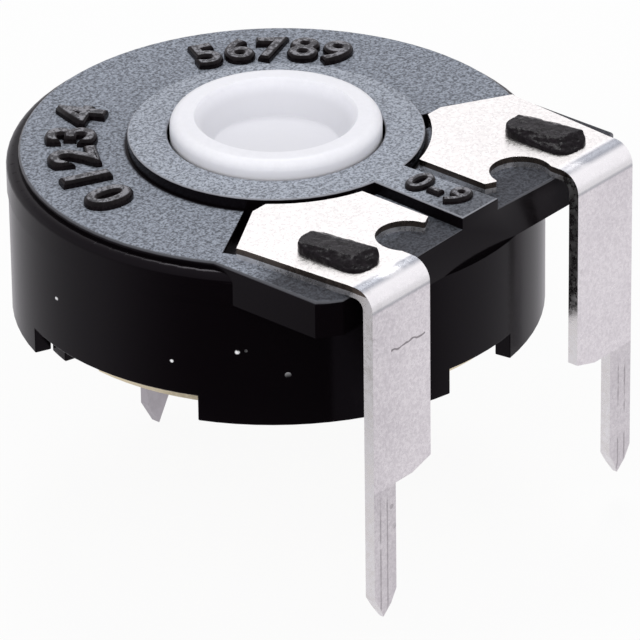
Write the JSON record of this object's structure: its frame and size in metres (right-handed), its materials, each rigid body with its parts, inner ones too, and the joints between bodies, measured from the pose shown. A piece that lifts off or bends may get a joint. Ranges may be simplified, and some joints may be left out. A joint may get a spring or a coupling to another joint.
{
  "type": "trimmer potentiometer",
  "caption": "Round black trimmer potentiometer with a white rotor in a raised boss, bent flat tinned terminals and a wiper pin at the back.",
  "frame": {"origin": "point of the board's face under the rotor's axis", "axes": "+Z along the rotor's axis, up from the board; the end terminals are on the -Y side and the wiper pin on the +Y side"},
  "size_m": [0.0148, 0.0155, 0.0113],
  "materials": {
    "black_plastic": "spark-eroded grain on top, glossy sides",
    "white_plastic": "satin",
    "tinned_sheet": "tin plated, fine grain",
    "collector_brass": "bright",
    "spring_bronze": "bright spring sheet",
    "laminate": "paper laminate",
    "carbon_ink": "printed, matt",
    "silver_ink": "printed, satin"
  },
  "bodies": {
    "base": {"housing": "black_plastic", "element_board": "laminate", "carbon_track": "carbon_ink", "end_pad_left": "silver_ink", "end_pad_right": "silver_ink", "terminal_left": "tinned_sheet", "terminal_right": "tinned_sheet", "collector": "collector_brass"},
    "turning": {"rotor": "white_plastic", "wiper": "spring_bronze"}
  },
  "joints": [
    {"name": "rotor_turn", "type": "hinge", "parent": "base", "child": "turning", "pos_m": [0, 0, 0.0035], "axis": [0, 0, 1], "range_deg": [-132.5, 132.5]}
  ]
}
